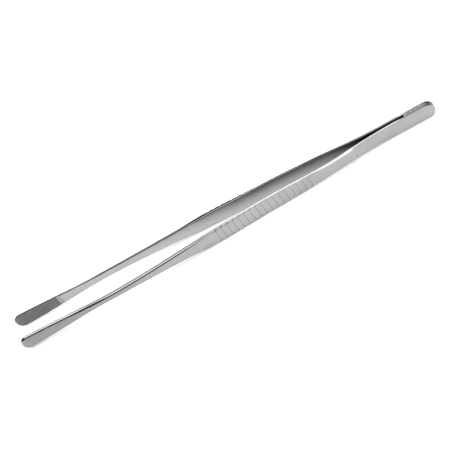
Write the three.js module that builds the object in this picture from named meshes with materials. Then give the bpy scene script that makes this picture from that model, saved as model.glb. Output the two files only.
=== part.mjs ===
// Long straight tweezers with broad serrated jaws, for planting in an aquarium.
//
// Two steel blades lie back to back at the heel with a filler plate between them, and one weld
// runs round the heel and joins all three. From the weld each blade bends outwards through a thin
// spring section, widens to a fluted grip, narrows to a thick neck and ends in a broad jaw with
// cross teeth on its inner face.
//
// Millimetres. +X points from the jaws to the heel, the blades open along Y, and +Z is across the
// width of the blades. The tweezers lie on the lower edges of the grips, at z = 0, and the origin
// is under the middle of the whole.
//
// Each blade bends by hand pressure. A rigid model can't bend, so each blade is parted across the
// middle of its spring section, and everything beyond that place turns as one leg. The leg is
// parted twice more, at the bow and past the grip, so that each stretch is simple and nearly straight.

import * as THREE from 'three';

// Driving dimensions. Every place along a blade is a distance from the heel end.
const LENGTH = 300;
const HEEL_WIDTH = 11.8;
const WAIST_WIDTH = 10.4;
const GRIP_WIDTH = 13.4;
const NECK_WIDTH = 5.8;
const JAW_WIDTH = 12.1;

const SPRING_THICKNESS = 1.25;
const SHOULDER_THICKNESS = 1.85;
const GRIP_THICKNESS = 1.35;
const NECK_THICKNESS = 2.5;
const JAW_THICKNESS = 2.2;

const HALF_SLOT = 0.75;
const HALF_OPENING_AT_BEND = 1.9;
const HALF_OPENING_AT_BOW = 4.2;
const HALF_OPENING_AT_GRIP = 5.3;
const HALF_OPENING_PAST_GRIP = 7.05;
const HALF_OPENING_AT_NECK = 8.35;
const HALF_OPENING_AT_TIPS = 8.75;

const TAPER_START = 8;
const WELD_END = 19;
const BEND_START = 27;
const FLEX_POINT = 40;
const BEND_END = 54;
const SHOULDER = 55.8;
const WAIST = 66;
const BOW = 80;
const BOW_SEAM = 84;
const FLUTES_START = 87.7;
const THIN_GRIP_START = 95.7;
const GRIP_START = 116;
const GRIP_END = 128;
const FLUTES_END = 156.3;
const THICK_NECK_START = 161.3;
const PAST_GRIP = 180;
const NECK = 233;
const JAW_START = 268;

const FLUTE_COUNT = 17;
const FLUTE_WIDTH = 1.8;
const FLUTE_FLOOR = 0.6;
const FLUTE_DEPTH = 0.3;
const TOOTH_COUNT = 23;
const TOOTH_DEPTH = 0.4;
const TOOTH_PITCH = 1.34;
const RUN_OUT_LENGTH = 2.4;
const RUN_OUT_NEAR_SHARE = 0.2;
const RUN_OUT_FAR_SHARE = 0.7;

const FINE_BEVEL = 0.15;
const SHOULDER_BEVEL = 0.95;
const GRIP_BEVEL = 0.4;
const LEG_BEVEL = 0.55;
const INNER_BEVEL = 0.3;

const PIECE_GAP = 0.3;
const WELD_REACH = 1.5;
const SHOULDER_RAMP = 1.3;
const HEEL_END_LENGTH = 6.6;
const JAW_END_LENGTH = 5.2;
const END_FULLNESS = 0.985;
const CURVE_STEP = 5;
const ROUND_END_STEPS = 7;
const CLOSEST_SECTIONS = 0.05;
const WELD_INSET = 0.05;
const FILLER_INSET = 1;

const CENTRE_HEIGHT = GRIP_WIDTH / 2;

const bladeSteel = new THREE.MeshStandardMaterial({ color: 0xb9b9b4, roughness: 0.38, metalness: 1 });
const weldSteel = new THREE.MeshStandardMaterial({ color: 0xa3a29d, roughness: 0.5, metalness: 1 });

// A smooth curve through stations of [distance, value, slope]; a station with no slope is level.
function smoothCurve(stations) {
  return (distance) => {
    const first = stations[0];
    const last = stations[stations.length - 1];
    if (distance <= first[0]) return first[1];
    if (distance >= last[0]) return last[1];
    const next = stations.findIndex((station) => station[0] > distance);
    const [startAt, startValue, startSlope = 0] = stations[next - 1];
    const [endAt, endValue, endSlope = 0] = stations[next];
    const span = endAt - startAt;
    const t = (distance - startAt) / span;
    const rise = 3 * t * t - 2 * t * t * t;
    const leave = t * t * t - 2 * t * t + t;
    const arrive = t * t * t - t * t;
    return startValue + (endValue - startValue) * rise
      + span * (startSlope * leave + endSlope * arrive);
  };
}

const fullWidth = smoothCurve([
  [TAPER_START, HEEL_WIDTH],
  [WAIST, WAIST_WIDTH],
  [GRIP_START, GRIP_WIDTH],
  [GRIP_END, GRIP_WIDTH],
  [NECK, NECK_WIDTH],
  [LENGTH, JAW_WIDTH],
]);

const innerOffset = smoothCurve([
  [BEND_START, HALF_SLOT],
  [BEND_END, HALF_OPENING_AT_BEND, 0.1],
  [BOW, HALF_OPENING_AT_BOW, 0.033],
  [(GRIP_START + GRIP_END) / 2, HALF_OPENING_AT_GRIP, 0.024],
  [PAST_GRIP, HALF_OPENING_PAST_GRIP, 0.032],
  [NECK, HALF_OPENING_AT_NECK, 0.008],
  [JAW_START, HALF_OPENING_AT_NECK, 0.004],
  [LENGTH, HALF_OPENING_AT_TIPS, 0.016],
]);

const thickness = smoothCurve([
  [SHOULDER, SPRING_THICKNESS],
  [SHOULDER + SHOULDER_RAMP, SHOULDER_THICKNESS],
  [THIN_GRIP_START, GRIP_THICKNESS],
  [GRIP_START, GRIP_THICKNESS],
  [THICK_NECK_START, NECK_THICKNESS],
  [NECK, NECK_THICKNESS],
  [LENGTH, JAW_THICKNESS],
]);

const bevel = smoothCurve([
  [SHOULDER, FINE_BEVEL],
  [SHOULDER + SHOULDER_RAMP, SHOULDER_BEVEL],
  [THIN_GRIP_START, GRIP_BEVEL],
  [GRIP_END, GRIP_BEVEL],
  [FLUTES_END, LEG_BEVEL],
]);

const innerBevel = smoothCurve([
  [GRIP_END, FINE_BEVEL],
  [FLUTES_END, INNER_BEVEL],
]);

// How much of the full width is left inside a round end; a small flat nose is left at its tip.
function endRoundness(into, endLength) {
  const share = END_FULLNESS * Math.max(0, into) / endLength;
  return Math.sqrt(1 - share * share);
}

// Half the width of a blade, with its round heel end and its round jaw end.
function halfWidth(distance) {
  const heelEnd = endRoundness(HEEL_END_LENGTH - distance, HEEL_END_LENGTH);
  const jawEnd = endRoundness(distance - (LENGTH - JAW_END_LENGTH), JAW_END_LENGTH);
  return fullWidth(distance) / 2 * heelEnd * jawEnd;
}

// Distances of the sections that follow a round end, from where it begins to its nose.
function roundEndDistances(begin, endLength, direction) {
  const widestTurn = Math.asin(END_FULLNESS);
  return Array.from({ length: ROUND_END_STEPS }, (_, step) => {
    const turn = widestTurn * (step + 1) / ROUND_END_STEPS;
    return begin + direction * endLength * Math.sin(turn) / END_FULLNESS;
  });
}

// Depth of the grip flutes: narrow grooves with a level floor, and wide lands between them.
function fluteSections() {
  const pitch = (FLUTES_END - FLUTES_START - FLUTE_WIDTH) / (FLUTE_COUNT - 1);
  const sections = [];
  for (let flute = 0; flute < FLUTE_COUNT; flute += 1) {
    const centre = FLUTES_START + FLUTE_WIDTH / 2 + flute * pitch;
    sections.push([centre - FLUTE_WIDTH / 2, 0]);
    sections.push([centre - FLUTE_FLOOR / 2, FLUTE_DEPTH]);
    sections.push([centre + FLUTE_FLOOR / 2, FLUTE_DEPTH]);
    sections.push([centre + FLUTE_WIDTH / 2, 0]);
  }
  return sections;
}

// Depth of the jaw's cross teeth: a crest and a root to each tooth, after a wide first groove.
function toothSections() {
  const sections = [
    [JAW_START - RUN_OUT_LENGTH, 0],
    [JAW_START - RUN_OUT_LENGTH * RUN_OUT_FAR_SHARE, TOOTH_DEPTH],
    [JAW_START - RUN_OUT_LENGTH * RUN_OUT_NEAR_SHARE, TOOTH_DEPTH],
  ];
  for (let tooth = 0; tooth < TOOTH_COUNT; tooth += 1) {
    sections.push([JAW_START + tooth * TOOTH_PITCH, 0]);
    sections.push([JAW_START + (tooth + 0.5) * TOOTH_PITCH, TOOTH_DEPTH]);
  }
  sections.push([JAW_START + TOOTH_COUNT * TOOTH_PITCH, 0]);
  return sections;
}

// Depth cut at a distance, read from a list of [distance, depth] sections.
function depthAt(sections, distance) {
  const next = sections.findIndex((section) => section[0] >= distance);
  if (next <= 0) return 0;
  const [startAt, startDepth] = sections[next - 1];
  const [endAt, endDepth] = sections[next];
  return THREE.MathUtils.mapLinear(distance, startAt, endAt, startDepth, endDepth);
}

const flutes = fluteSections();
const teeth = toothSections();

// The outline of a blade's section at one distance, as [offset from the middle plane, height].
function sectionOutline(distance) {
  const half = halfWidth(distance);
  const inner = innerOffset(distance);
  const outer = inner + thickness(distance);
  const outerCut = Math.min(bevel(distance), half / 2);
  const innerCut = Math.min(innerBevel(distance), half / 2);
  const tooth = depthAt(teeth, distance);
  const flute = depthAt(flutes, distance);
  const innerHalf = half - Math.max(0, innerCut - tooth);
  const outerHalf = half - Math.max(0, outerCut - flute);
  const innerEdge = inner + Math.max(innerCut, tooth + FINE_BEVEL);
  const outerEdge = outer - Math.max(outerCut, flute + FINE_BEVEL);
  return [
    [innerEdge, -half],
    [inner + tooth, -innerHalf],
    [inner + tooth, innerHalf],
    [innerEdge, half],
    [outerEdge, half],
    [outer - flute, outerHalf],
    [outer - flute, -outerHalf],
    [outerEdge, -half],
  ];
}

// Distances of all the sections of a blade from one place to another.
function sectionDistances(from, to) {
  const all = [from, to, SHOULDER, SHOULDER + SHOULDER_RAMP, GRIP_START, GRIP_END];
  for (let distance = 0; distance < JAW_START; distance += CURVE_STEP) {
    const insideFlutes = distance > FLUTES_START && distance < FLUTES_END;
    if (!insideFlutes) all.push(distance);
  }
  all.push(...roundEndDistances(HEEL_END_LENGTH, HEEL_END_LENGTH, -1));
  all.push(...roundEndDistances(LENGTH - JAW_END_LENGTH, JAW_END_LENGTH, 1));
  all.push(...flutes.map((section) => section[0]));
  all.push(...teeth.map((section) => section[0]));
  const inside = all.filter((distance) => distance >= from && distance <= to);
  inside.sort((a, b) => a - b);
  return inside.filter((distance, index) => index === 0 || distance - inside[index - 1] > CLOSEST_SECTIONS);
}

// A closed solid through a row of outlines that all have the same number of points.
function loft(outlines) {
  const count = outlines[0].length;
  const positions = outlines.flat(2);
  const triangles = [];
  for (let row = 0; row + 1 < outlines.length; row += 1) {
    for (let point = 0; point < count; point += 1) {
      const here = row * count + point;
      const beside = row * count + (point + 1) % count;
      triangles.push(here, beside, here + count);
      triangles.push(beside, beside + count, here + count);
    }
  }
  const lastRow = (outlines.length - 1) * count;
  for (let point = 1; point + 1 < count; point += 1) {
    triangles.push(0, point + 1, point);
    triangles.push(lastRow, lastRow + point, lastRow + point + 1);
  }
  const geometry = new THREE.BufferGeometry();
  geometry.setAttribute('position', new THREE.Float32BufferAttribute(positions, 3));
  geometry.setIndex(triangles);
  geometry.computeVertexNormals();
  return geometry;
}

// One stretch of a blade; side is -1 for the front blade and +1 for the rear blade.
function bladeStretch(name, side, from, to) {
  const outlines = sectionDistances(from, to).map((distance) => {
    const points = sectionOutline(distance).map(([offset, height]) => [
      LENGTH / 2 - distance,
      side * offset,
      CENTRE_HEIGHT + height,
    ]);
    return side > 0 ? points : points.reverse();
  });
  const mesh = new THREE.Mesh(loft(outlines), bladeSteel);
  mesh.name = name;
  return mesh;
}

// Adds the outline of the heel's half-round end to a shape, inset from the blades' edge.
function heelOutline(path, front, inset) {
  const half = HEEL_WIDTH / 2 - inset;
  path.moveTo(front, -half);
  path.lineTo(HEEL_END_LENGTH, -half);
  path.absellipse(HEEL_END_LENGTH, 0, HEEL_END_LENGTH - inset, half, -Math.PI / 2, -Math.PI * 1.5, true);
  path.lineTo(front, half);
}

// A plate that stands between the blades, drawn as distance and height and centred on the middle plane.
function slotPlate(name, shape, material) {
  const depth = 2 * (HALF_SLOT - PIECE_GAP);
  const geometry = new THREE.ExtrudeGeometry(shape, { depth, bevelEnabled: false, curveSegments: 16 });
  geometry.translate(0, 0, -depth / 2);
  geometry.rotateX(Math.PI / 2);
  const mesh = new THREE.Mesh(geometry, material);
  mesh.name = name;
  mesh.rotation.z = Math.PI;
  mesh.position.set(LENGTH / 2, 0, CENTRE_HEIGHT);
  return mesh;
}

// The filler plate that keeps the blades apart at the heel.
function heelFiller() {
  const shape = new THREE.Shape();
  heelOutline(shape, WELD_END - FILLER_INSET, WELD_REACH + PIECE_GAP);
  shape.closePath();
  return slotPlate('heel_filler', shape, bladeSteel);
}

// The weld round the rim of the filler plate, ground flush with the edges of the blades.
function heelWeld() {
  const inside = HEEL_WIDTH / 2 - WELD_REACH;
  const insideEnd = HEEL_END_LENGTH - WELD_REACH;
  const shape = new THREE.Shape();
  heelOutline(shape, WELD_END, WELD_INSET);
  shape.lineTo(WELD_END, inside);
  shape.lineTo(HEEL_END_LENGTH, inside);
  shape.absellipse(HEEL_END_LENGTH, 0, insideEnd, inside, Math.PI / 2, Math.PI * 1.5, false);
  shape.lineTo(WELD_END, -inside);
  shape.closePath();
  return slotPlate('heel_weld', shape, weldSteel);
}

// The stretches of one blade, from the heel end to the jaw end, with a gap at each seam.
function bladeStretches(blade, side) {
  const names = ['heel', 'shoulder', 'grip', 'jaw'];
  const seams = [FLEX_POINT, BOW_SEAM, PAST_GRIP];
  return names.map((name, index) => {
    const from = index === 0 ? 0 : seams[index - 1] + PIECE_GAP / 2;
    const to = index < seams.length ? seams[index] - PIECE_GAP / 2 : LENGTH;
    return bladeStretch(`${blade}_blade_${name}`, side, from, to);
  });
}

function tweezers() {
  const group = new THREE.Group();
  group.add(...bladeStretches('front', -1));
  group.add(...bladeStretches('rear', 1));
  group.add(heelFiller());
  group.add(heelWeld());
  return group;
}

export default tweezers();
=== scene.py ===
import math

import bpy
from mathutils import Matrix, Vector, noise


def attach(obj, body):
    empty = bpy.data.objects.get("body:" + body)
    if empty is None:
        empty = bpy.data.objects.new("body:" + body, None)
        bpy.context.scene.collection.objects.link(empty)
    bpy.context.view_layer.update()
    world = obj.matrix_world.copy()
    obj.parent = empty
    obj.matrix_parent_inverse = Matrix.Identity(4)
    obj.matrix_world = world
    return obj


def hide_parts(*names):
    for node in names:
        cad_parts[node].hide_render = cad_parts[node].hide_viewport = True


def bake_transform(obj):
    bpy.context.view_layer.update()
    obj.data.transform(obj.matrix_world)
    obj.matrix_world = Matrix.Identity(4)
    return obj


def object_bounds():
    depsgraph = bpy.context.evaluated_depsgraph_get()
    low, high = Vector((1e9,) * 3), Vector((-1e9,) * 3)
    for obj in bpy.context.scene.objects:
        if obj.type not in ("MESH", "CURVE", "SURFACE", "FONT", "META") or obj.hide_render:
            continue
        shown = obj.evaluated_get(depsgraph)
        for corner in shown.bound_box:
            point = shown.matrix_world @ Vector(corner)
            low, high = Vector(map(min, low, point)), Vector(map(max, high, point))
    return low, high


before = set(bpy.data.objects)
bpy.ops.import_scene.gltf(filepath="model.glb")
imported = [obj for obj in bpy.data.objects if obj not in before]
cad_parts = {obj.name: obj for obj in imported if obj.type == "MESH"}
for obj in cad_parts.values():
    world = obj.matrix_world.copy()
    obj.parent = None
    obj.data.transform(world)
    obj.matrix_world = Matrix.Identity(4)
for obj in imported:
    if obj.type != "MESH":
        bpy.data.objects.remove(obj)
cad_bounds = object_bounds()

# Looks of the long aquarium tweezers: two satin steel blades, their filler plate and their weld.
# Distances along a blade are millimetres from the heel end, as in the CAD source, and become metres
# in place(). Each blade is one continuous mesh that bends across its spring section.

MM = 0.001

# Driving dimensions, the same as the CAD source's.
LENGTH = 300.0
HEEL_WIDTH = 11.8
WAIST_WIDTH = 10.4
GRIP_WIDTH = 13.4
NECK_WIDTH = 5.8
JAW_WIDTH = 12.1

SPRING_THICKNESS = 1.25
SHOULDER_THICKNESS = 1.85
GRIP_THICKNESS = 1.35
NECK_THICKNESS = 2.5
JAW_THICKNESS = 2.2

HALF_SLOT = 0.75
HALF_OPENING_AT_BEND = 1.9
HALF_OPENING_AT_BOW = 4.2
HALF_OPENING_AT_GRIP = 5.3
HALF_OPENING_PAST_GRIP = 7.05
HALF_OPENING_AT_NECK = 8.35
HALF_OPENING_AT_TIPS = 8.75

TAPER_START = 8.0
WELD_END = 19.0
BEND_START = 27.0
BEND_END = 54.0
SHOULDER = 55.8
WAIST = 66.0
BOW = 80.0
FLUTES_START = 87.7
THIN_GRIP_START = 95.7
GRIP_START = 116.0
GRIP_END = 128.0
FLUTES_END = 156.3
THICK_NECK_START = 161.3
PAST_GRIP = 180.0
NECK = 233.0
JAW_ROOT = 247.0
JAW_START = 268.0
HEEL_END_LENGTH = 6.6
JAW_END_LENGTH = 5.2
SHOULDER_RAMP = 1.3

FLUTE_COUNT = 17
FLUTE_WIDTH = 1.8
FLUTE_DEPTH = 0.3
FLUTE_PITCH = (FLUTES_END - FLUTES_START - FLUTE_WIDTH) / (FLUTE_COUNT - 1)
NOTCH_REACH = 1.6
NOTCH_DEEPER = 1.4
TOOTH_COUNT = 23
TOOTH_DEPTH = 0.4
TOOTH_PITCH = 1.34
TOOTH_CREST = 0.22
TEETH_END = JAW_START + TOOTH_COUNT * TOOTH_PITCH
GROOVE_LENGTH = 2.4
GROOVE_START = JAW_START - GROOVE_LENGTH
GROOVE_FULLNESS = 0.7

# The weld and the filler plate. The weld's ends at the mouth of the slot are rounded, with a painted
# glint, a painted highlight, over a few steps of its path.
WELD_REACH = 1.45
WELD_BITE = 0.04
WELD_SINK = 0.06
WELD_GRAIN = 0.03
SEAM_OFFSET = 0.62
SEAM_HALF_WIDTH = 0.2
SEAM_DEPTH = 0.16
SEAM_GRAIN = 0.1
MOUTH_STEPS = 3
MOUTH_ROUND = 0.1
GLINT_STEPS = 6
GLINT = 2.0
FILLER_INSET = 1.0
FILLER_NOSE = 0.6
FILLER_BITE = 0.02

# Colours and tones. A tone multiplies the steel's colour; the flute, groove, tooth and notch tones are
# painted light and shade.
BLADE_DARK = (0.322, 0.323, 0.320)
BLADE_LIGHT = (0.372, 0.373, 0.369)
GRAZING_TINT = (0.6, 0.6, 0.6)
WELD_DARK = (0.12, 0.12, 0.122)
WELD_LIGHT = (0.43, 0.43, 0.43)
FLUTE_PAINTED_CONTRAST = 0.24
GROOVE_PAINTED_SHADE = 0.25
TOOTH_CREST_PAINTED_SHADE = 0.74
TOOTH_ROOT_PAINTED_SHADE = 0.03
NOTCH_SHADE_CONTRAST = 0.9
SEAM_TONE_OFFSET = 0.7
SEAM_TONE_HALF_WIDTH = 0.18
SEAM_CONTRAST = 0.65
SCORCH = 0.75
SCORCH_RIM = 0.02
SIDE_SHADE_SHARE = 0.2

CENTRE_HEIGHT = GRIP_WIDTH / 2
END_FULLNESS = 0.9995
CREASE = math.radians(32)


def smooth_curve(stations):
    """A smooth curve through (distance, value, slope) stations; with no slope a station is level."""
    rows = [(s[0], s[1], s[2] if len(s) > 2 else 0.0) for s in stations]

    def value(distance):
        if distance <= rows[0][0]:
            return rows[0][1]
        for (a, va, ma), (b, vb, mb) in zip(rows, rows[1:]):
            if distance < b:
                span = b - a
                t = (distance - a) / span
                rise = t * t * (3 - 2 * t)
                leave = t * (1 - t) ** 2
                arrive = t * t * (t - 1)
                return va + (vb - va) * rise + span * (ma * leave + mb * arrive)
        return rows[-1][1]

    return value


full_width = smooth_curve([
    (TAPER_START, HEEL_WIDTH),
    (WAIST, WAIST_WIDTH),
    (GRIP_START, GRIP_WIDTH),
    (GRIP_END, GRIP_WIDTH),
    (NECK, NECK_WIDTH),
    (LENGTH, JAW_WIDTH),
])
inner_offset = smooth_curve([
    (BEND_START, HALF_SLOT),
    (BEND_END, HALF_OPENING_AT_BEND, 0.1),
    (BOW, HALF_OPENING_AT_BOW, 0.033),
    ((GRIP_START + GRIP_END) / 2, HALF_OPENING_AT_GRIP, 0.024),
    (PAST_GRIP, HALF_OPENING_PAST_GRIP, 0.032),
    (NECK, HALF_OPENING_AT_NECK, 0.008),
    (JAW_START, HALF_OPENING_AT_NECK, 0.004),
    (LENGTH, HALF_OPENING_AT_TIPS, 0.016),
])
thickness = smooth_curve([
    (SHOULDER, SPRING_THICKNESS),
    (SHOULDER + SHOULDER_RAMP, SHOULDER_THICKNESS),
    (THIN_GRIP_START, GRIP_THICKNESS),
    (GRIP_START, GRIP_THICKNESS),
    (THICK_NECK_START, NECK_THICKNESS),
    (NECK, NECK_THICKNESS),
    (LENGTH, JAW_THICKNESS),
])
# The outer edges: how far the edge is cut back across the blade's width and through its thickness,
# and how round that cut is, from 0, a flat bevel, to 1, a quarter round.
edge_across = smooth_curve([
    (SHOULDER, 0.12),
    (SHOULDER + SHOULDER_RAMP, 0.7),
    (THIN_GRIP_START, 0.08),
    (GRIP_END, 0.08),
    (THICK_NECK_START, 0.25),
    (PAST_GRIP, 1.4),
    (NECK, 1.5),
    (JAW_ROOT, 2.6),
    (JAW_START, 1.6),
    (LENGTH, 1.5),
])
edge_through = smooth_curve([
    (SHOULDER, 0.12),
    (SHOULDER + SHOULDER_RAMP, 1.25),
    (THIN_GRIP_START, 0.14),
    (GRIP_END, 0.14),
    (THICK_NECK_START, 0.35),
    (PAST_GRIP, 1.8),
    (JAW_ROOT, 2.0),
    (LENGTH, 1.8),
])
edge_roundness = smooth_curve([(GRIP_END, 0.0), (FLUTES_END, 1.0)])
# The radius of the round on the inner edges.
inner_edge = smooth_curve([
    (GRIP_START, 0.12),
    (THICK_NECK_START, 0.5),
    (PAST_GRIP, 0.6),
    (JAW_ROOT, 0.5),
    (JAW_START, 0.38),
])
# How far the last flutes, towards the jaw, run out over the blade's edges.
flute_run_out = smooth_curve([(GRIP_START, 0.0), (GRIP_END, 0.6), (FLUTES_END, 1.0)])
# How much narrower a blade is, on each side, at its outer face than at its inner face.
side_slope = smooth_curve([(WELD_END, 0.0), (BEND_START, 0.13), (SHOULDER, 0.15), (GRIP_START, 0.2)])
# How far the outer face falls away from its middle to its edges.
crown = smooth_curve([(SHOULDER, 0.0), (WAIST, 0.08), (GRIP_END, 0.12), (NECK, 0.2), (LENGTH, 0.35)])
# Painted shade on the inner faces: how bright they are, and how much darker they are towards the upper
# edge.
inner_painted_shade = smooth_curve([(BEND_START, 0.3), (GRIP_START, 0.78), (PAST_GRIP, 1.06)])
inner_painted_shade_slope = smooth_curve([(SHOULDER, 0.45), (GRIP_START, 0.68), (PAST_GRIP, 0.15), (NECK, 0.0)])
# Painted light on the polished inner edges: a painted highlight along the grip, painted shade past it.
inner_edge_painted_light = smooth_curve([
    (BOW, 1.0),
    (GRIP_START, 1.7),
    (GRIP_END, 1.7),
    (FLUTES_END, 0.9),
    (PAST_GRIP, 0.35),
])
# Painted shade: how much darker the narrow sides are where they meet the outer edges.
side_shade = smooth_curve([(FLUTES_START, 0.0), (GRIP_START, 0.6), (NECK, 0.7), (JAW_START, 0.35)])
# Painted shade on the outer faces: how bright they are, and how much darker they are towards the upper
# edge.
outer_painted_shade = smooth_curve([(FLUTES_END, 1.0), (PAST_GRIP, 0.96), (NECK, 0.82), (JAW_START, 0.72)])
outer_painted_shade_slope = smooth_curve([(NECK, 0.05), (JAW_START + JAW_END_LENGTH, 0.2)])


def into_heel_end(distance):
    """How far into the round heel end a place is, from 0 to 1 at its very end."""
    return max(0.0, HEEL_END_LENGTH - distance) / HEEL_END_LENGTH


def into_jaw_end(distance):
    """How far into the round jaw end a place is, from 0 to 1 at its very end."""
    return max(0.0, distance - (LENGTH - JAW_END_LENGTH)) / JAW_END_LENGTH


def half_width(distance):
    """Half the width of a blade with its round ends."""
    into = END_FULLNESS * max(into_heel_end(distance), into_jaw_end(distance))
    return full_width(distance) / 2 * math.sqrt(1 - into * into)


def distance_to_rim(distance, height):
    """How far a place on a blade's face is from the blade's outline."""
    half = full_width(distance) / 2
    end_length = HEEL_END_LENGTH if distance < LENGTH / 2 else JAW_END_LENGTH
    into = max(into_heel_end(distance), into_jaw_end(distance))
    across = height / half
    radius = math.hypot(into, across)
    if radius < 1e-6:
        return half
    reach = math.hypot(end_length * into, half * across) / radius
    return max(0.0, (1 - radius) * reach)


def edge_cut(rim, across, through, roundness):
    """Depth cut off a face at a distance from the rim, by a bevel, a quarter round or a mix."""
    if rim >= across:
        return 0.0
    t = 1 - rim / across
    return through * ((1 - roundness) * t + roundness * (1 - math.sqrt(1 - t * t)))


def into_flute(distance):
    """Place within the nearest flute, from -1 at its heel side to +1 at its tip side, or None."""
    first = FLUTES_START + FLUTE_WIDTH / 2
    nearest = min(max(round((distance - first) / FLUTE_PITCH), 0), FLUTE_COUNT - 1)
    off = (distance - first - nearest * FLUTE_PITCH) / (FLUTE_WIDTH / 2)
    return off if abs(off) < 1 else None


def flute_depth(distance):
    """Depth of the narrow round grooves across the outside of the grip."""
    off = into_flute(distance)
    return 0.0 if off is None else FLUTE_DEPTH * (0.5 + 0.5 * math.cos(math.pi * off))


def flute_painted_light(distance):
    """Painted light on a flute: painted shade on its tip side and a painted highlight on its heel
    side.
    """
    off = into_flute(distance)
    return 1.0 if off is None else 1.0 - FLUTE_PAINTED_CONTRAST * math.sin(math.pi * off)


def tooth_depth(distance):
    """Depth of the jaw's cross teeth, with a wide round groove at their heel end."""
    if GROOVE_START < distance < JAW_START:
        t = (JAW_START - distance) / GROOVE_LENGTH
        return TOOTH_DEPTH * math.sin(math.pi * t) ** GROOVE_FULLNESS
    into_teeth = distance - JAW_START
    if not 0 <= into_teeth <= TOOTH_COUNT * TOOTH_PITCH:
        return 0.0
    from_crest = abs((into_teeth + TOOTH_PITCH / 2) % TOOTH_PITCH - TOOTH_PITCH / 2)
    flank = TOOTH_PITCH / 2 - TOOTH_CREST / 2
    return TOOTH_DEPTH * min(1.0, max(0.0, from_crest - TOOTH_CREST / 2) / flank)


def tooth_painted_shade(distance):
    """Painted shade on the teeth, darkest at their roots and lighter on their crests, and on the
    groove at their heel end.
    """
    if not GROOVE_START < distance < TEETH_END:
        return 1.0
    depth = tooth_depth(distance) / TOOTH_DEPTH
    if distance < JAW_START:
        return 1.0 - GROOVE_PAINTED_SHADE * depth
    darker = depth * depth * (3 - 2 * depth)
    return TOOTH_CREST_PAINTED_SHADE + (TOOTH_ROOT_PAINTED_SHADE - TOOTH_CREST_PAINTED_SHADE) * darker


def spread(start, stop, step):
    """Evenly spaced distances from start up to stop."""
    count = max(1, round((stop - start) / step))
    return [start + (stop - start) * i / count for i in range(count)]


def section_distances():
    """Distances of a blade's sections: dense at the round ends, the flutes and the teeth."""
    end_steps = 26
    spring_step = 1.5
    ramp_step = 0.1
    neck_step = 2.0
    groove_step = 0.15
    flute_step = FLUTE_PITCH / 18
    tooth_step = TOOTH_PITCH / 12
    end_nose = 1.0
    closest = 0.004
    turns = [math.pi / 2 * (i / end_steps) for i in range(end_steps + 1)]
    distances = [HEEL_END_LENGTH * (1 - math.sin(turn)) for turn in turns]
    distances += [LENGTH - JAW_END_LENGTH * (1 - math.sin(turn)) for turn in turns]
    distances += spread(HEEL_END_LENGTH, SHOULDER, spring_step)
    distances += spread(SHOULDER, SHOULDER + SHOULDER_RAMP, ramp_step)
    distances += spread(SHOULDER + SHOULDER_RAMP, FLUTES_START, spring_step)
    distances += spread(FLUTES_START, FLUTES_END, flute_step)
    distances += spread(FLUTES_END, GROOVE_START, neck_step)
    distances += spread(GROOVE_START, JAW_START, groove_step)
    distances += spread(JAW_START, LENGTH - JAW_END_LENGTH, tooth_step)
    distances += spread(LENGTH - JAW_END_LENGTH, LENGTH - end_nose, tooth_step)
    ordered = []
    for distance in sorted(distances):
        if not ordered or distance - ordered[-1] > closest:
            ordered.append(distance)
    return ordered


def face_heights(distance):
    """Heights of the points across a face, from the lower rim to the upper, dense at the rims."""
    narrowest_rim = 0.3
    widest_rim_share = 0.7
    rim_steps = 7
    middle_steps = 9
    half = half_width(distance)
    rim = min(max(narrowest_rim, edge_across(distance)), half * widest_rim_share)
    lower = [-half + rim * (1 - math.cos(math.pi / 2 * i / rim_steps)) for i in range(rim_steps)]
    middle = [(rim - half) * (1 - 2 * i / middle_steps) for i in range(middle_steps + 1)]
    upper = [-height for height in reversed(lower)]
    return lower + middle + upper


def section(distance):
    """A blade's section as (offset from the middle plane, height, polish, tone, ground) points; the
    tone is painted light and shade.
    """
    inner = inner_offset(distance)
    outer = inner + thickness(distance)
    across = edge_across(distance)
    through = edge_through(distance)
    roundness = edge_roundness(distance)
    inner_round = inner_edge(distance)
    tooth = tooth_depth(distance)
    flute = flute_depth(distance)
    dome = crown(distance)
    half = full_width(distance) / 2
    narrower = 1 - side_slope(distance) / half
    near_weld = min(SCORCH, max(0.0, (WELD_END + 1 - distance) / 2))
    inner_face = []
    outer_face = []
    for height in face_heights(distance):
        rim = distance_to_rim(distance, height)
        inner_cut = max(edge_cut(rim, inner_round, inner_round, 1.0), tooth)
        outer_cut = edge_cut(rim, across, through, roundness)
        outer_cut += dome * (height / half) ** 2 * (1 - outer_cut / through)
        notch = flute_run_out(distance) * flute * max(0.0, 1 - rim / NOTCH_REACH)
        outer_cut = max(outer_cut, flute) + NOTCH_DEEPER * notch
        rim_share = max(0.0, 1 - rim / inner_round)
        inner_polish = min(1.0, 2 * rim_share)
        outer_polish = min(1.0, 2 * max(0.0, 1 - rim / across))
        # Painted shade on the inner face, darker in the teeth and towards the upper edge, with painted
        # light on the polished inner edge.
        tone = inner_painted_shade(distance) * tooth_painted_shade(distance)
        tone *= 1 - inner_painted_shade_slope(distance) * height / half
        tone += (inner_edge_painted_light(distance) - tone) * inner_polish
        ground = near_weld if rim < SCORCH_RIM else 0.0
        inner_face.append((inner + inner_cut, height, inner_polish, tone, ground))
        # Painted shade where the last flutes run out over the outer edge.
        notch_painted_shade = 1 - NOTCH_SHADE_CONTRAST * notch / FLUTE_DEPTH
        # Painted light and shade on the outer face, from the flutes, the notches and its upper edge.
        shade = flute_painted_light(distance) * outer_painted_shade(distance) * notch_painted_shade
        shade *= 1 - outer_painted_shade_slope(distance) * height / half
        shade += (notch_painted_shade - shade) * outer_polish
        # Painted shade on the narrow side near the outer edge.
        shade *= 1 - side_shade(distance) * max(0.0, 1 - rim / (SIDE_SHADE_SHARE * across))
        outer_face.append((outer - outer_cut, height * narrower, outer_polish, shade, ground))
    return inner_face + outer_face[::-1]


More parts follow.
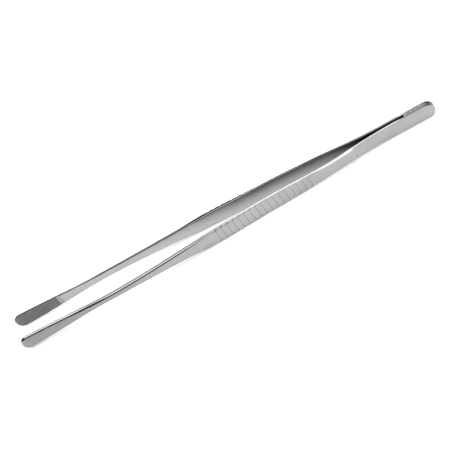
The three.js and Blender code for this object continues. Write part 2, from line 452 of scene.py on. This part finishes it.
def place(distance, offset, height, side):
    """A point of a blade in the CAD frame, in metres; side is -1 at the front and +1 at the rear."""
    return (
        (LENGTH / 2 - distance) * MM,
        side * offset * MM,
        (CENTRE_HEIGHT + height) * MM,
    )


def mesh_object(name, points, faces, material):
    """A mesh object with smooth faces and creases kept sharp."""
    mesh = bpy.data.meshes.new(name)
    mesh.from_pydata(points, [], faces)
    mesh.validate()
    mesh.shade_smooth()
    mesh.set_sharp_from_angle(angle=CREASE)
    mesh.materials.append(material)
    piece = bpy.data.objects.new(name, mesh)
    bpy.context.scene.collection.objects.link(piece)
    return piece


def store(piece, name, values):
    """Keep a number for each point of a piece's mesh, for its material to read."""
    layer = piece.data.attributes.new(name, "FLOAT", "POINT")
    layer.data.foreach_set("value", values)


def side_faces(rows, count):
    """Faces that join each closed row of points to the next."""
    faces = []
    for row in range(rows - 1):
        for point in range(count):
            here = row * count + point
            beside = row * count + (point + 1) % count
            faces.append((here, beside, beside + count, here + count))
    return faces


def blade_faces(rows, count, flip):
    """Faces of a blade: its rows of points joined, with both ends capped."""
    faces = side_faces(rows, count)
    last = (rows - 1) * count
    half = count // 2
    for i in range(half - 1):
        faces.append((i, count - 1 - i, count - 2 - i, i + 1))
        faces.append((last + i, last + i + 1, last + count - 2 - i, last + count - 1 - i))
    return [face[::-1] for face in faces] if flip else faces


def blade(name, side, material):
    """One whole blade, from heel to jaw."""
    rows = [(distance, section(distance)) for distance in section_distances()]
    count = len(rows[0][1])
    points = [place(distance, p[0], p[1], side) for distance, row in rows for p in row]
    piece = mesh_object(name, points, blade_faces(len(rows), count, side < 0), material)
    for column, layer_name in ((2, "polish"), (3, "tone"), (4, "ground")):
        store(piece, layer_name, [p[column] for _, row in rows for p in row])
    return piece


def heel_path():
    """The outline of the heel as (distance, height, outward distance, outward height) points."""
    half = HEEL_WIDTH / 2
    straight_steps = 40
    arc_steps = 48
    path = []
    straight = WELD_END - HEEL_END_LENGTH
    for i in range(straight_steps):
        path.append((WELD_END - straight * i / straight_steps, half, 0.0, 1.0))
    for i in range(arc_steps + 1):
        turn = math.pi * i / arc_steps
        outward = Vector((-math.sin(turn) / HEEL_END_LENGTH, math.cos(turn) / half)).normalized()
        path.append((HEEL_END_LENGTH * (1 - math.sin(turn)), half * math.cos(turn), *outward))
    for i in range(1, straight_steps + 1):
        path.append((HEEL_END_LENGTH + straight * i / straight_steps, -half, 0.0, -1.0))
    return path


def weld_profile(along):
    """Section of the weld as (offset, depth) points: its ground face has a hollow at each seam."""
    steps = 14
    grain_along = 0.55
    grain_across = 1.3
    grain_seed = 3.1
    wide = HALF_SLOT + WELD_BITE
    face = []
    for i in range(steps + 1):
        offset = wide * (2 * i / steps - 1)
        near_seam = (abs(offset) - SEAM_OFFSET) / SEAM_HALF_WIDTH
        grain = noise.noise(Vector((along * grain_along, offset * grain_across, grain_seed)))
        pit = SEAM_DEPTH + SEAM_GRAIN * grain
        face.append((offset, WELD_SINK + pit * math.exp(-near_seam * near_seam) + WELD_GRAIN * grain))
    return [(-wide, WELD_REACH)] + face + [(wide, WELD_REACH)]


def weld_tone(offset):
    """The weld is dark along its two seams."""
    near_seam = (abs(offset) - SEAM_TONE_OFFSET) / SEAM_TONE_HALF_WIDTH
    return 1.0 - SEAM_CONTRAST * math.exp(-near_seam * near_seam)


def weld(material):
    """The weld round the rim of the heel, ground almost flush with the blades' edges."""
    path = heel_path()
    points = []
    tones = []
    along = 0.0
    for index, (distance, height, out_distance, out_height) in enumerate(path):
        if index:
            along += math.hypot(distance - path[index - 1][0], height - path[index - 1][1])
        from_mouth = min(index, len(path) - 1 - index)
        mouth_round = MOUTH_ROUND * max(0.0, 1 - from_mouth / MOUTH_STEPS) ** 2
        # A painted highlight near the mouth of the slot.
        glint = 1 + GLINT * max(0.0, 1 - from_mouth / GLINT_STEPS)
        for offset, depth in weld_profile(along):
            sink = min(WELD_REACH, depth + mouth_round)
            points.append(place(distance - out_distance * sink, offset, height - out_height * sink, 1))
            tones.append(weld_tone(offset) * glint)
    count = len(points) // len(path)
    last = len(points) - count
    faces = side_faces(len(path), count)
    faces.append(tuple(range(count))[::-1])
    faces.append(tuple(range(last, len(points))))
    piece = mesh_object("weld_seam", points, faces, material)
    store(piece, "tone", tones)
    return piece


def filler(material):
    """The filler plate between the blades, with a round front edge at the mouth of the slot."""
    steps = 24
    nose_steps = 8
    half = HEEL_WIDTH / 2 - WELD_REACH
    reach = HEEL_END_LENGTH - WELD_REACH
    wide = HALF_SLOT + FILLER_BITE
    points = []
    for i in range(steps + 1):
        turn = math.pi * i / steps
        for offset in (-wide, wide):
            distance = HEEL_END_LENGTH - reach * math.sin(turn)
            points.append(place(distance, offset, half * math.cos(turn), 1))
    for height in (-half, half):
        for i in range(nose_steps + 1):
            turn = math.pi * (i / nose_steps - 0.5)
            distance = WELD_END - FILLER_INSET + FILLER_NOSE * math.cos(turn)
            points.append(place(distance, wide * math.sin(turn), height, 1))
    low = 2 * (steps + 1)
    low_end = low + nose_steps
    high = low_end + 1
    high_end = high + nose_steps
    faces = [(2 * i, 2 * i + 1, 2 * i + 3, 2 * i + 2) for i in range(steps)]
    faces += [(low + i, low + i + 1, high + i + 1, high + i) for i in range(nose_steps)]
    faces.append((0, high, high_end, 1))
    faces.append((low - 1, low_end, low, low - 2))
    faces.append(tuple(range(high, high_end + 1)))
    faces.append(tuple(range(low_end, low - 1, -1)))
    faces.append(tuple(range(0, low, 2)) + (low, high))
    faces.append(tuple(range(low - 1, 0, -2)) + (high_end, low_end))
    return mesh_object("filler_plate", points, faces, material)


class Shading:
    """A small helper that adds procedural nodes to a material."""

    NOISE_LOW = 0.3
    NOISE_HIGH = 0.7

    def __init__(self, name):
        self.material = bpy.data.materials.new(name)
        self.material.use_nodes = True
        self.nodes = self.material.node_tree.nodes
        self.links = self.material.node_tree.links
        self.shader = self.nodes["Principled BSDF"]
        self.where = self.nodes.new("ShaderNodeTexCoord").outputs["Object"]

    def join(self, value, socket):
        """Set a socket to a number or a colour, or link another node's output to it."""
        if isinstance(value, (int, float)):
            socket.default_value = value
        elif isinstance(value, tuple):
            socket.default_value = (*value, 1)
        else:
            self.links.new(value, socket)

    def noise(self, scale, stretch=(1, 1, 1), detail=3):
        """Noise fixed to the piece."""
        mapping = self.nodes.new("ShaderNodeMapping")
        mapping.inputs["Scale"].default_value = stretch
        texture = self.nodes.new("ShaderNodeTexNoise")
        texture.inputs["Scale"].default_value = scale
        texture.inputs["Detail"].default_value = detail
        self.links.new(self.where, mapping.inputs["Vector"])
        self.links.new(mapping.outputs["Vector"], texture.inputs["Vector"])
        return texture.outputs["Fac"]

    def spread(self, value, low, high):
        """Noise stretched to run from low to high."""
        node = self.nodes.new("ShaderNodeMapRange")
        node.inputs["From Min"].default_value = self.NOISE_LOW
        node.inputs["From Max"].default_value = self.NOISE_HIGH
        node.inputs["To Min"].default_value = low
        node.inputs["To Max"].default_value = high
        self.links.new(value, node.inputs["Value"])
        return node.outputs["Result"]

    def calculate(self, operation, first, second):
        """A sum or another calculation with two numbers."""
        node = self.nodes.new("ShaderNodeMath")
        node.operation = operation
        self.join(first, node.inputs[0])
        self.join(second, node.inputs[1])
        return node.outputs["Value"]

    def mix(self, factor, first, second):
        """A mix of two numbers."""
        node = self.nodes.new("ShaderNodeMix")
        node.data_type = "FLOAT"
        self.join(factor, node.inputs["Factor"])
        self.join(first, node.inputs["A"])
        self.join(second, node.inputs["B"])
        return node.outputs["Result"]

    def mix_colour(self, factor, first, second):
        """A mix of two colours."""
        node = self.nodes.new("ShaderNodeMix")
        node.data_type = "RGBA"
        self.join(factor, node.inputs["Factor"])
        self.join(first, node.inputs["A"])
        self.join(second, node.inputs["B"])
        return node.outputs["Result"]

    def scaled_colour(self, colour, amount):
        """A colour multiplied by a number."""
        node = self.nodes.new("ShaderNodeVectorMath")
        node.operation = "SCALE"
        self.join(colour, node.inputs[0])
        self.join(amount, node.inputs["Scale"])
        return node.outputs["Vector"]

    def layer(self, name):
        """A number stored on the mesh."""
        node = self.nodes.new("ShaderNodeAttribute")
        node.attribute_name = name
        return node.outputs["Fac"]

    def bump(self, height, strength, distance):
        """Fine relief on the surface."""
        node = self.nodes.new("ShaderNodeBump")
        node.inputs["Strength"].default_value = strength
        node.inputs["Distance"].default_value = distance
        self.links.new(height, node.inputs["Height"])
        self.links.new(node.outputs["Normal"], self.shader.inputs["Normal"])


def blade_material():
    """Satin stainless steel, brushed along the blade, with polished edges; the stored tone paints
    light and shade into its colour.
    """
    steel = Shading("blade_steel")
    brushing = steel.noise(scale=9000, stretch=(0.03, 1, 1))
    grain = steel.noise(scale=5200)
    patches = steel.noise(scale=90)
    stains = steel.noise(scale=900)
    ground = steel.layer("ground")
    polish = steel.layer("polish")

    satin = steel.mix_colour(steel.spread(patches, 0, 1), BLADE_DARK, BLADE_LIGHT)
    # Painted light and shade: the satin colour scaled by the tone stored on the mesh.
    face = steel.scaled_colour(satin, steel.layer("tone"))
    scorch = steel.mix_colour(steel.spread(stains, 0, 1), WELD_DARK, WELD_LIGHT)
    steel.join(steel.mix_colour(ground, face, scorch), steel.shader.inputs["Base Color"])

    brushed = steel.spread(brushing, low=-0.05, high=0.05)
    uneven = steel.spread(patches, low=0.29, high=0.35)
    satin_rough = steel.calculate("ADD", brushed, uneven)
    edge_rough = steel.spread(grain, low=0.1, high=0.16)
    ground_rough = 0.42
    rough = steel.mix(polish, satin_rough, edge_rough)
    steel.join(steel.mix(ground, rough, ground_rough), steel.shader.inputs["Roughness"])
    steel.join(1.0, steel.shader.inputs["Metallic"])
    steel.join(GRAZING_TINT, steel.shader.inputs["Specular Tint"])

    grain_share = 0.4
    height = steel.mix(grain_share, brushing, grain)
    steel.bump(height, strength=0.12, distance=0.03 * MM)
    return steel.material


def weld_material():
    """Ground weld metal: duller and mottled, with fine pits and grinding marks."""
    steel = Shading("weld_steel")
    mottle = steel.noise(scale=750, detail=5)
    marks = steel.noise(scale=7000, stretch=(1, 0.05, 1))
    scorch = steel.mix_colour(steel.spread(mottle, 0, 1), WELD_DARK, WELD_LIGHT)
    # The weld's colour scaled by its tone: dark seams and a painted glint at the slot's mouth.
    steel.join(steel.scaled_colour(scorch, steel.layer("tone")), steel.shader.inputs["Base Color"])
    steel.join(steel.spread(marks, low=0.34, high=0.5), steel.shader.inputs["Roughness"])
    steel.join(1.0, steel.shader.inputs["Metallic"])
    marks_share = 0.5
    height = steel.mix(marks_share, mottle, marks)
    steel.bump(height, strength=0.4, distance=0.05 * MM)
    return steel.material


def floor_material():
    """A plain pale matt floor."""
    material = bpy.data.materials.new("pale_floor")
    material.use_nodes = True
    shader = material.node_tree.nodes["Principled BSDF"]
    shader.inputs["Base Color"].default_value = (0.93, 0.93, 0.93, 1)
    shader.inputs["Roughness"].default_value = 0.9
    shader.inputs["Specular IOR Level"].default_value = 0.0
    shader.inputs["Emission Color"].default_value = (1, 1, 1, 1)
    shader.inputs["Emission Strength"].default_value = 0.4
    return material


def floor():
    """The pale floor that the tweezers lie on."""
    half = 4.0
    gap = 0.0001
    points = [(-half, -half, 0), (half, -half, 0), (half, half, 0), (-half, half, 0)]
    piece = mesh_object("floor", points, [(0, 1, 2, 3)], floor_material())
    piece.location.z = cad_bounds[0][2] - gap


def area_light(name, place_at, aim, size, power):
    """A soft lamp at a place, aimed at a point."""
    light = bpy.data.lights.new(name, "AREA")
    light.shape = "RECTANGLE"
    light.size, light.size_y = size
    light.energy = power
    lamp = bpy.data.objects.new(name, light)
    lamp.location = place_at
    lamp.rotation_euler = (Vector(aim) - Vector(place_at)).to_track_quat("-Z", "Y").to_euler()
    bpy.context.scene.collection.objects.link(lamp)
    return lamp


def studio():
    """Soft studio light: a white overhead source, tilted back a little, in a dark room."""
    lean = math.radians(4.5)
    white_within = math.radians(32)
    dark_beyond = math.radians(39)
    strength = 2.8
    world = bpy.data.worlds.new("studio")
    world.use_nodes = True
    nodes = world.node_tree.nodes
    links = world.node_tree.links
    background = nodes["Background"]
    where = nodes.new("ShaderNodeTexCoord")
    toward = nodes.new("ShaderNodeVectorMath")
    toward.operation = "DOT_PRODUCT"
    toward.inputs[1].default_value = (0, math.sin(lean), math.cos(lean))
    ramp = nodes.new("ShaderNodeValToRGB")
    ramp.color_ramp.elements[0].position = math.cos(dark_beyond)
    ramp.color_ramp.elements[0].color = (0.03, 0.03, 0.032, 1)
    ramp.color_ramp.elements[1].position = math.cos(white_within)
    ramp.color_ramp.elements[1].color = (1.0, 1.0, 1.0, 1)
    links.new(where.outputs["Generated"], toward.inputs[0])
    links.new(toward.outputs["Value"], ramp.inputs["Fac"])
    links.new(ramp.outputs["Color"], background.inputs["Color"])
    background.inputs["Strength"].default_value = strength
    bpy.context.scene.world = world
    fill = area_light("fill", place_at=(0.0, -0.2, 1.4), aim=(0, 0, 0), size=(2.4, 2.0), power=10)
    fill.visible_glossy = False


def camera():
    """The camera: above and in front of the tweezers, tilted so that they run up to the right."""
    azimuth = math.radians(11.98)
    elevation = math.radians(48.84)
    roll = math.radians(37.95)
    distance = 1.2
    shift_across = -0.00026
    shift_up = -0.0024
    across = Vector((math.cos(azimuth), math.sin(azimuth), 0))
    forward = Vector((
        -math.sin(azimuth) * math.cos(elevation),
        math.cos(azimuth) * math.cos(elevation),
        -math.sin(elevation),
    ))
    up = across.cross(forward)
    aim = Vector((0, 0, CENTRE_HEIGHT * MM)) + shift_across * across + shift_up * up
    right = across * math.cos(roll) - up * math.sin(roll)
    top = across * math.sin(roll) + up * math.cos(roll)
    data = bpy.data.cameras.new("camera")
    data.sensor_width = 36
    data.lens = 153
    data.clip_start = 0.01
    eye = bpy.data.objects.new("camera", data)
    turn = Matrix((right, top, -forward)).transposed()
    eye.matrix_world = Matrix.Translation(aim - forward * distance) @ turn.to_4x4()
    bpy.context.scene.collection.objects.link(eye)
    bpy.context.scene.camera = eye


def tweezers():
    """The pieces: two blades, bent across their spring sections, and the filler plate and the weld on
    the heel body.
    """
    blade_steel = blade_material()
    weld_steel = weld_material()
    for name, side in (("front", -1), ("rear", 1)):
        piece = blade(f"{name}_blade", side, blade_steel)
        stretches = [f"{name}_blade_{stretch}" for stretch in ("heel", "shoulder", "grip", "jaw")]
        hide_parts(*stretches)
        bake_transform(piece)
    plate = filler(blade_steel)
    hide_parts("heel_filler")
    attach(plate, "heel")
    seam = weld(weld_steel)
    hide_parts("heel_weld")
    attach(seam, "heel")


bpy.context.scene.view_settings.view_transform = "Standard"
camera()
studio()
floor()
tweezers()
